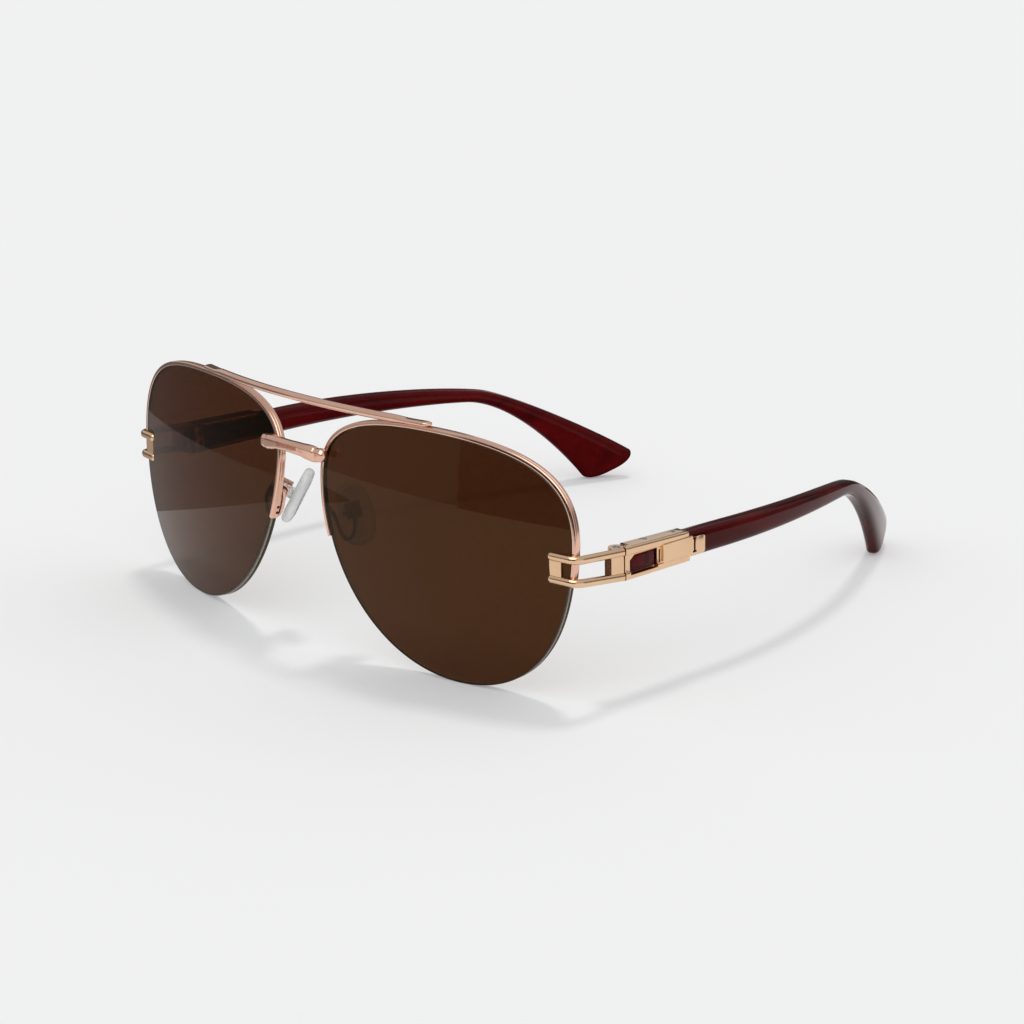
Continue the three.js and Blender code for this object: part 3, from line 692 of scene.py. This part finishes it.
# ------------------------------------------------------------------ nose pads
PAD_LONG = Vector((0.49, -0.14, -0.86)).normalized()
TOWARDS_NOSE = Vector((-0.72, 0.5, 0))
PAD_OUT = (TOWARDS_NOSE - PAD_LONG * TOWARDS_NOSE.dot(PAD_LONG)).normalized()
PAD_BACK = PAD_LONG.cross(PAD_OUT)
PAD_PLACE = Matrix.Translation(PAD_CENTRE) @ Matrix((PAD_BACK, PAD_LONG, PAD_OUT)).transposed().to_4x4()
PAD_POCKET_INSET = 1.4
PAD_PLATE = 0.8
PAD_BOX = {"width": 3.2, "length": 3.4, "depth": 2.9, "wall": 0.5, "open_front": 0.6}
PAD_BOX_BACK = -PAD_THICKNESS / 2 - GAP - PAD_BOX["depth"]
PAD_PIVOT_DEPTH = PAD_BOX_BACK + 1.25
PAD_SCREW_RADIUS = 0.35
PAD_WIRE_RADIUS = 0.45


def pad_outline(margin, steps=14):
    """D shape: straighter along the front edge, full and round along the back edge."""
    half = PAD_LENGTH / 2 + margin
    front = -PAD_WIDTH * 0.42 - margin
    back = PAD_WIDTH * 0.58 + margin
    sides = [
        flat_points((front, -half * 0.35), (front, -half * 0.85), (front * 0.5, -half), (0.4, -half)),
        flat_points((0.4, -half), (back * 0.85, -half), (back, -half * 0.45), (back, 0)),
        flat_points((back, 0), (back, half * 0.6), (back * 0.75, half), (0.2, half)),
        flat_points((0.2, half), (front * 0.7, half), (front, half * 0.75), (front, half * 0.35)),
    ]
    return [tuple(bezier(side, i / steps)) for side in sides for i in range(steps)] + [(front, half * 0.35)]


def pad_slab(levels):
    """A solid through pad outlines, given as [margin, depth] levels."""
    return loft([[Vector((a, b, depth)) for a, b in pad_outline(margin)] for margin, depth in levels])


def make_nose_pad():
    """A soft, crowned pad with an open pocket in its back for the stiff plate."""
    half = PAD_THICKNESS / 2
    round_edge = 1.0
    steps = 9
    back = [(-round_edge * (1 - math.sin(a)), -half + round_edge * (1 - math.cos(a)))
            for a in (math.pi / 2 * k / steps for k in range(steps + 1))]
    crown = 0.22
    front = [(-round_edge * (1 - math.cos(a)), half - crown - round_edge * (1 - math.sin(a)))
             for a in (math.pi / 2 * k / steps for k in range(steps + 1))]
    dome = [(-round_edge - 0.5 * k, half - crown * (1 - math.sin(math.pi / 2 * k / 4))) for k in range(1, 5)]
    pocket = pad_slab([(-PAD_POCKET_INSET, -half - 0.2), (-PAD_POCKET_INSET, -half + PAD_PLATE + GAP)])
    return moved(subtract(pad_slab([*back, *front, *dome]), pocket), PAD_PLACE)


def make_pad_plate():
    back = -PAD_THICKNESS / 2
    inset = -PAD_POCKET_INSET - GAP
    plate = pad_slab([(inset, back), (inset, back + PAD_PLATE)])
    stem = block((-0.7, 0.7), (-1.1, 1.1), (back - 2.8, back + 0.3))
    reach = PAD_SCREW_RADIUS + GAP
    eye = block((-5, 5), (-reach, reach), (PAD_PIVOT_DEPTH - reach, PAD_PIVOT_DEPTH + reach))
    return moved(soften(subtract(union(plate, stem), eye), 0.1), PAD_PLACE)


def make_pad_box():
    width, length, wall = PAD_BOX["width"], PAD_BOX["length"], PAD_BOX["wall"]
    high = PAD_BOX_BACK + PAD_BOX["depth"] - PAD_BOX["open_front"]
    reach = PAD_SCREW_RADIUS + GAP
    body = block((-width / 2, width / 2), (-length / 2, length / 2), (PAD_BOX_BACK - wall, high))
    hollow = block((-width / 2 + wall, width / 2 - wall), (-length, length), (PAD_BOX_BACK, high + 1))
    eye = block((-width, width), (-reach, reach), (PAD_PIVOT_DEPTH - reach, PAD_PIVOT_DEPTH + reach))
    return moved(soften(subtract(body, hollow, eye), 0.14), PAD_PLACE)


def make_pad_screw():
    half = PAD_BOX["width"] / 2 + GAP
    shank = rod(0, 0, (-half - 0.1, half + 0.1), PAD_SCREW_RADIUS, 28)
    head = rod(0, 0, (-half - 0.5, -half), 0.7, 36)
    slot = block((-1, 1), (-0.1, 0.1), (-half - 0.7, -half - 0.3))
    turn = Matrix.Translation((0, 0, PAD_PIVOT_DEPTH)) @ Matrix.Rotation(math.pi / 2, 4, "Y")
    return moved(soften(subtract(union(shank, head), slot), 0.06), PAD_PLACE @ turn)


def make_pad_arm():
    """Wire from behind the rim, down and round in a U, up to the back of the pad box."""
    behind_box = PAD_BOX_BACK - PAD_BOX["wall"] - PAD_WIRE_RADIUS - JOINED
    path = [Vector((7.5, -1.2, 31.2)), Vector((8.4, -0.5, 29.8)), Vector((9.3, -0.1, 28.2)),
            Vector((10.4, 0, 25.8)), Vector((12.4, 0.1, 24.5)), Vector((14.2, 0.4, 26)),
            PAD_PLACE @ Vector((-0.2, 2.8, behind_box)), PAD_PLACE @ Vector((0, 0, behind_box))]
    wire = tube(smooth_path(path, 16), PAD_WIRE_RADIUS)
    return subtract(wire, rim_space(JOINED), lens_space(GAP))


# ------------------------------------------------------------------ end pieces
END_FRONT = 6.4
END_BACK = 21.3
END_WINDOW = (3.3, 17.9)       # distance along the path, and y
RAIL_THICKNESS = 1.5
RAIL_POWER = 2.2
FLAT_POWER = 9
FRONT_FLAT = {"start": 0.4, "thickness": 1}
REAR_FLAT_THICKNESS = 1.9
END_ROUND = 0.8
KNUCKLE_WEB = {"inner": 69, "front": 20}


def end_piece_path():
    """Plan points of the end piece's outer face, evenly spaced, each with its length so far."""
    start, turn, corner = Vector((64.7, END_FRONT, 0)), Vector((69.3, 7.2, 0)), Vector((71.6, 7.6, 0))
    after, end = Vector((RAIL_FACE, 10.6, 0)), Vector((RAIL_FACE, END_BACK, 0))
    points = [start.lerp(turn, i / 12) for i in range(12)]
    points += [turn.lerp(corner, i / 24).lerp(corner.lerp(after, i / 24), i / 24) for i in range(24)]
    points += [after.lerp(end, i / 20) for i in range(21)]
    return points


END_PATH = end_piece_path()
END_LENGTHS = [0.0]
for start, end in zip(END_PATH, END_PATH[1:]):
    END_LENGTHS.append(END_LENGTHS[-1] + (end - start).length)


def on_end_path(length):
    i = min(max(bisect.bisect_right(END_LENGTHS, length), 1), len(END_PATH) - 1)
    share = (length - END_LENGTHS[i - 1]) / (END_LENGTHS[i] - END_LENGTHS[i - 1])
    point = END_PATH[i - 1].lerp(END_PATH[i], share)
    return point, (END_PATH[i] - END_PATH[i - 1]).normalized()


def end_share(y):
    return (y - END_FRONT) / (END_BACK - END_FRONT)


def end_top(y):
    return 31.4 + (SLEEVE_TOP[0] - 31.4) * end_share(y)


def end_bottom(y):
    return 25 + (SLEEVE["bottom"] - 25) * end_share(y)


def end_band(start, end, recess, thickness, heights, power, steps=140):
    """A band along the end piece, rounded off where it starts at the very front."""
    rings = []
    for i in range(steps + 1):
        length = start + (end - start) * i / steps
        face, along = on_end_path(length)
        inwards = Vector((-along.y, along.x, 0))
        low, high = heights(face.y)
        centre = face + inwards * (recess + thickness / 2)
        centre.z = (low + high) / 2
        full = math.sqrt(max(0.1, 1 - max(0, 1 - length / END_ROUND) ** 2))
        section = oval(thickness / 2 * full, (high - low) / 2 * full, power, 36)
        rings.append(ring(centre, inwards, Z_AXIS, section))
    return loft(rings)


def make_end_piece():
    length = END_LENGTHS[-1]
    window_end = length - (END_BACK - END_WINDOW[1])

    def upper_rail(y):
        return end_top(y) - RAIL_HEIGHT, end_top(y)

    def lower_rail(y):
        return end_bottom(y), end_bottom(y) + RAIL_HEIGHT

    def between_rails(y):
        return end_bottom(y) + RAIL_HEIGHT / 2, end_top(y) - RAIL_HEIGHT / 2

    top = end_band(0, length, 0, RAIL_THICKNESS, upper_rail, RAIL_POWER)
    bottom = end_band(0, length, 0, RAIL_THICKNESS, lower_rail, RAIL_POWER)
    start, thickness = FRONT_FLAT["start"], FRONT_FLAT["thickness"]
    front_flat = end_band(start, END_WINDOW[0], RAIL_RECESS, thickness, between_rails, FLAT_POWER, 12)
    thickness = REAR_FLAT_THICKNESS
    rear_flat = end_band(window_end, length, RAIL_RECESS, thickness, between_rails, FLAT_POWER, 12)
    knuckles = []
    for height in (UPPER_KNUCKLE, LOWER_KNUCKLE):
        knuckles.append(rod(HINGE.x, HINGE.y, height, KNUCKLE_RADIUS))
        across = (KNUCKLE_WEB["inner"], HINGE.x + KNUCKLE_RADIUS)
        knuckles.append(block(across, (KNUCKLE_WEB["front"], HINGE.y), height))
    shape = union(top, bottom, front_flat, rear_flat, *knuckles)
    swept = (CENTRE_KNUCKLE[0] - GAP, CENTRE_KNUCKLE[1] + GAP)
    head_seat = (UPPER_KNUCKLE[1] - 0.4, ABOVE)
    subtract(
        shape,
        rod(HINGE.x, HINGE.y, swept, CENTRE_KNUCKLE_RADIUS + GAP),
        rod(HINGE.x, HINGE.y, (BELOW, ABOVE), HINGE_SCREW_RADIUS + SCREW_ROOM),
        rod(HINGE.x, HINGE.y, head_seat, HINGE_HEAD["radius"] + HEAD_ROOM),
    )
    return soften(subtract(shape, rim_space(JOINED), lens_space(JOINED)), 0.07, 2, 40)


def slotted_head(x, y, low, high, radius):
    half_width, depth = SCREW_SLOT["half_width"], SCREW_SLOT["depth"]
    slot = block((x - radius, x + radius), (y - half_width, y + half_width), (high - depth, high + 1))
    return subtract(rod(x, y, (low, high), radius), slot)


def make_hinge_screw():
    low, high = UPPER_KNUCKLE[1] - HINGE_HEAD["below"], UPPER_KNUCKLE[1] + HINGE_HEAD["above"]
    shank = rod(HINGE.x, HINGE.y, (LOWER_KNUCKLE[0], low + OVERLAP), HINGE_SCREW_RADIUS, 32)
    head = slotted_head(HINGE.x, HINGE.y, low, high, HINGE_HEAD["radius"])
    return soften(union(head, shank), 0.07)


# ------------------------------------------------------------------ temples
def sleeve_top(y):
    share = (y - SLEEVE["front"]) / (SLEEVE["end"] - SLEEVE["front"])
    return SLEEVE_TOP[0] + (SLEEVE_TOP[1] - SLEEVE_TOP[0]) * share


def sleeve_bar(x, y, low, high, power):
    half = (x[1] - x[0]) / 2
    rings = []
    for i in range(13):
        at = y[0] + (y[1] - y[0]) * i / 12
        centre = Vector((x[0] + half, at, (low(at) + high(at)) / 2))
        section = oval(half, (high(at) - low(at)) / 2, power, 40)
        rings.append(ring(centre, X_AXIS, Z_AXIS, section))
    return loft(rings)


def sleeve_solids():
    """Walls, outer plate, raised rails, tab and front block of the channel, before it is cut."""
    bottom = SLEEVE["bottom"]
    front = SLEEVE["front"] - 0.6
    length = (front, SLEEVE["end"])
    walls = (SLEEVE["inner"], PLATE_FACE)
    plate = (PLATE_FACE - WALL, PLATE_FACE)
    rails = (70.4, RAIL_FACE - 0.1)
    return [
        sleeve_bar(walls, length, lambda y: sleeve_top(y) - FLANGE, lambda y: sleeve_top(y) - 0.1, 9),
        sleeve_bar(walls, length, lambda y: bottom + 0.1, lambda y: bottom + FLANGE, 9),
        block(plate, length, (bottom + 0.5, SLEEVE_TOP[1] - 0.3)),
        sleeve_bar(rails, (front, 39.6), lambda y: sleeve_top(y) - RAIL_HEIGHT, sleeve_top, 3.6),
        sleeve_bar(rails, (front, 39.9), lambda y: bottom, lambda y: bottom + RAIL_HEIGHT, 3.6),
        side_plate(plate, (TAB_ROOT, SLEEVE["tab_end"]), TAB, TAB_CORNER),
        block((SLEEVE["inner"], rails[0]), (front, 23.8), (bottom + 0.2, SLEEVE_TOP[0] - 0.4)),
    ]


def side_plate(x, y, z, radius):
    """A plate that faces outwards, with rounded corners."""
    corners = [(y[0], z[0]), (y[1], z[0]), (y[1], z[1]), (y[0], z[1])]
    outline = rounded(corners, [radius] * 4)
    return loft([[Vector((at, a, b)) for a, b in outline] for at in x])


def window_cutter():
    """The sleeve's window, with its upper front corner cut off."""
    w = SLEEVE_WINDOW
    corners = [(w["front"], w["low"]), (w["back"], w["low"]), (w["back"], w["high"]),
               (w["front"] + 1.3, w["high"]), (w["front"], w["high"] - 1)]
    return loft([[Vector((x, y, z)) for y, z in corners] for x in (70.45, OUTSIDE)])


def slot_cutters():
    """Two narrow slots. The rear one is wider at both ends, like a capital I."""
    through = (70, OUTSIDE)
    low, high = 25.05, 27.8
    front = block(through, (31.25, 31.6), (low, high))
    rear = block(through, (41.4, 41.9), (low, high))
    rear_ends = [block(through, (41.1, 42.2), (z, z + 0.4)) for z in (low - 0.2, high - 0.15)]
    return [front, rear, *rear_ends]


def make_sleeve():
    shape = union(*sleeve_solids())
    for height in ((CENTRE_KNUCKLE[1], ABOVE), (BELOW, CENTRE_KNUCKLE[0])):
        subtract(shape, rod(HINGE.x, HINGE.y, height, KNUCKLE_RADIUS + GAP))
    union(shape, rod(HINGE.x, HINGE.y, CENTRE_KNUCKLE, CENTRE_KNUCKLE_RADIUS))
    bore = rod(HINGE.x, HINGE.y, (BELOW, ABOVE), HINGE_SCREW_RADIUS + SCREW_ROOM)
    subtract(shape, bore, window_cutter(), *slot_cutters())
    for y in TEMPLE_SCREWS.values():
        hole = rod(TEMPLE_SCREW_X, y, (24, ABOVE), TEMPLE_HOLE_RADIUS)
        seat_floor = sleeve_top(y) - TEMPLE_HEAD["sunk"]
        seat = rod(TEMPLE_SCREW_X, y, (seat_floor, ABOVE), TEMPLE_HEAD["radius"] + HEAD_ROOM)
        subtract(shape, hole, seat)
    return soften(shape, 0.07, 2, 40)


def make_panel():
    low = PLATE_FACE - JOINED
    high = PLATE_FACE - 0.2 + GAP + PANEL["thickness"]
    length = (PANEL["front"] - PANEL_MARGIN, PANEL["back"] - PANEL_MARGIN)
    height = (PANEL["low"] - PANEL_MARGIN, PANEL["high"] + PANEL_MARGIN)
    return soften(side_plate((low, high), length, height, 0.25), 0.13, 4)


def make_temple_screw(y):
    low = sleeve_top(y) - TEMPLE_HEAD["sunk"] + SCREW_ROOM
    head = slotted_head(TEMPLE_SCREW_X, y, low, low + TEMPLE_HEAD["height"], TEMPLE_HEAD["radius"])
    shank = rod(TEMPLE_SCREW_X, y, (25, low + OVERLAP), TEMPLE_SCREW_RADIUS, 28)
    return soften(union(head, shank), 0.07)


ARM_UPPER = [
    flat_points((ARM_FRONT, 29.4), (60, 29.4), (90, 27.6), (102, 25.2)),
    flat_points((102, 25.2), (108, 24), (126, 14.2), (136, 6.6)),
]
ARM_LOWER = [
    flat_points((ARM_FRONT, 23.7), (60, 23.6), (85, 23.6), (98, 22.7)),
    flat_points((98, 22.7), (107, 22), (117.5, 12.5), (125.2, 1.2)),
]
ARM_STEPS = (90, 110)
ARM_TIP_REACH = 2.6


def arm_ring(middle, half, thickness):
    """A cross-section of the arm. middle and half are (y, z), and half reaches the upper edge."""
    points = []
    for across, along in oval(thickness / 2, 1, 3.2, 56):
        y, z = middle + half * along
        beyond = max(0, y - ARM_BEND_START)
        outwards = Vector((1, 2 * beyond / ARM_BEND_SCALE, 0)).normalized()
        points.append(Vector((ARM_CENTRE - beyond**2 / ARM_BEND_SCALE, y, z)) + outwards * across)
    return points


def arm_rings():
    rings = []
    for upper, lower, steps in zip(ARM_UPPER, ARM_LOWER, ARM_STEPS):
        for i in range(steps):
            high, low = bezier(upper, i / steps), bezier(lower, i / steps)
            rings.append(arm_ring((high + low) / 2, (high - low) / 2, ARM_THICKNESS))
    high, low = ARM_UPPER[-1][-1], ARM_LOWER[-1][-1]
    middle, half = (high + low) / 2, (high - low) / 2
    onwards = Vector((half.y, -half.x)).normalized()
    for i in range(25):
        angle = math.radians(86 * i / 24)
        shrink = math.cos(angle)
        centre = middle + onwards * (ARM_TIP_REACH * math.sin(angle))
        rings.append(arm_ring(centre, half * shrink**0.7, ARM_THICKNESS * shrink**0.5))
    return rings


def make_arm():
    """The arm, its tenon inside the sleeve and the bevelled insert that shows in the sleeve's window."""
    tenon_front = HINGE.y + CENTRE_KNUCKLE_RADIUS + GAP
    tenon = block((SLEEVE["inner"] + 0.1, 70.15), (tenon_front, ARM_FRONT + 0.5), (24.7, 28.5))
    w = SLEEVE_WINDOW
    room = 0.12
    insert = block((70, 70.95), (w["front"] + room, w["back"] - room), (w["low"] + room, w["high"] - room))
    arm = union(loft(arm_rings()), soften(tenon, 0.25, 4), soften(insert, 0.45, 3))
    tab_room = 0.08
    recess = block(
        (PLATE_FACE - WALL - tab_room, OUTSIDE),
        (TAB_ROOT, SLEEVE["tab_end"] + tab_room),
        (TAB[0] - tab_room, TAB[1] + tab_room),
    )
    holes = [rod(TEMPLE_SCREW_X, y, (BELOW, ABOVE), TEMPLE_HOLE_RADIUS) for y in TEMPLE_SCREWS.values()]
    return subtract(arm, recess, *holes)


# ------------------------------------------------------------------ assembly
def assemble():
    add_pair("rim", make_rim(), rose_gold)
    add_pair("lens", make_lens(), brown_lens, edge_material=lens_edge)
    add_pair("nylon_thread", make_thread(), nylon)
    add_single("bridge", make_bridge(), rose_gold)
    add_single("brow_bar", make_brow_bar(), rose_gold)
    add_pair("pad_arm", make_pad_arm(), rose_gold)
    add_pair("pad_box", make_pad_box(), rose_gold)
    add_pair("pad_screw", make_pad_screw(), steel)
    add_pair("pad_plate", make_pad_plate(), pad_core, "pad")
    for pad in add_pair("nose_pad", make_nose_pad(), silicone, "pad"):
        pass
    add_pair("end_piece", make_end_piece(), yellow_gold)
    add_pair("hinge_screw", make_hinge_screw(), steel)
    add_pair("temple_sleeve", make_sleeve(), yellow_gold, "temple")
    add_pair("temple_panel", make_panel(), yellow_gold, "temple")
    for place, y in TEMPLE_SCREWS.items():
        add_pair(f"temple_screw_{place}", make_temple_screw(y), steel, "temple")
    add_pair("temple_arm", make_arm(), burgundy, "temple")


# ------------------------------------------------------------------ studio
def make_floor():
    material, tree, shader = new_material("floor")
    tone = spread(tree, grain(tree, 6, 2), 0, 1)
    shade = mixed(tree, tone, (0.803, 0.803, 0.803), (0.797, 0.797, 0.797))
    tree.links.new(shade, shader.inputs["Base Color"])
    shader.inputs["Roughness"].default_value = 1
    shader.inputs["Specular IOR Level"].default_value = 0
    half = 4
    floor = block((-half, half), (-half, half), (-0.01, 0))
    floor.name = "floor"
    floor.data.materials.append(material)


def make_sun(name, direction, strength, spread_angle, colour, shadow, glossy):
    light = bpy.data.lights.new(name, "SUN")
    light.energy = strength
    light.angle = math.radians(spread_angle)
    light.color = colour
    light.use_shadow = shadow
    lamp = bpy.data.objects.new(name, light)
    lamp.rotation_euler = Vector(direction).to_track_quat("-Z", "Y").to_euler()
    lamp.visible_glossy = glossy
    bpy.context.scene.collection.objects.link(lamp)


def make_world():
    world = bpy.data.worlds.new("studio")
    bpy.context.scene.world = world
    world.use_nodes = True
    background = world.node_tree.nodes["Background"]
    background.inputs["Color"].default_value = (0.99, 1, 1.015, 1)
    background.inputs["Strength"].default_value = 0.58


def only_in_reflections(shape, name, brightness):
    """Makes the shape a plain glowing surface that nothing but a reflection can see."""
    material, _, shader = new_material(name)
    shader.inputs["Base Color"].default_value = (0, 0, 0, 1)
    shader.inputs["Specular IOR Level"].default_value = 0
    shader.inputs["Emission Color"].default_value = (1, 1, 1, 1)
    shader.inputs["Emission Strength"].default_value = brightness
    shape.name = name
    shape.data.materials.append(material)
    shape.visible_camera = False
    shape.visible_diffuse = False
    shape.visible_transmission = False
    shape.visible_shadow = False


def make_curtain(name, bearings, reach, top, brightness):
    """Part of a low curtain round the table, between two bearings, which only reflections see."""
    steps = 24
    start, end = bearings
    angles = [math.radians(start + (end - start) * i / steps) for i in range(steps + 1)]
    section = [(reach, 0.001), (reach + 0.01, 0.001), (reach + 0.01, top), (reach, top)]
    curtain = loft([[Vector((r * math.sin(a), -r * math.cos(a), z)) for r, z in section] for a in angles])
    only_in_reflections(curtain, name, brightness)


def make_table_card(name, x, y, brightness):
    """A card lying on the table, which only reflections see."""
    only_in_reflections(block(x, y, (0.0003, 0.0005)), name, brightness)


def make_camera():
    azimuth, elevation, roll = math.radians(47.25), math.radians(16.48), math.radians(-1.07)
    camera = bpy.data.cameras.new("camera")
    camera.sensor_width = 36
    camera.lens = 103.5
    camera.clip_start = 0.01
    eye = bpy.data.objects.new("camera", camera)
    turn = (
        Matrix.Rotation(azimuth, 4, "Z")
        @ Matrix.Rotation(math.pi / 2 - elevation, 4, "X")
        @ Matrix.Rotation(roll, 4, "Z")
    )
    eye.matrix_world = Matrix.Translation((0.4641, -0.4369, 0.2024)) @ turn
    bpy.context.scene.collection.objects.link(eye)
    bpy.context.scene.camera = eye


make_camera()
assemble()
make_floor()
make_world()
make_sun("key", (0.2, -0.3, -1), 0.64, 9, (1, 0.97, 0.92), shadow=True, glossy=False)
make_sun("fill", (-0.5, 0.6, -1), 1.34, 60, (0.98, 0.99, 1), shadow=False, glossy=True)
make_curtain("front_curtain", (-9.5, 60), 0.31, 0.1, 0.03)
make_curtain("corner_curtain", (-40, -9.5), 0.32, 0.1, 0.4)
make_curtain("side_curtain", (-100, -38), 0.24, 0.07, 0.15)
make_curtain("left_back_curtain", (165, 216.5), 0.26, 0.2, 0.1)
make_curtain("right_back_curtain", (227, 262), 0.26, 0.2, 0.1)
make_curtain("low_curtain", (100, 165), 0.26, 0.1, 0.2)
make_table_card("side_card", (-0.245, -0.105), (-0.2, 0.05), 0.4)
make_table_card("middle_card", (-0.05, 0.02), (-0.03, 0.17), 0.04)
bpy.context.scene.view_settings.view_transform = "Standard"
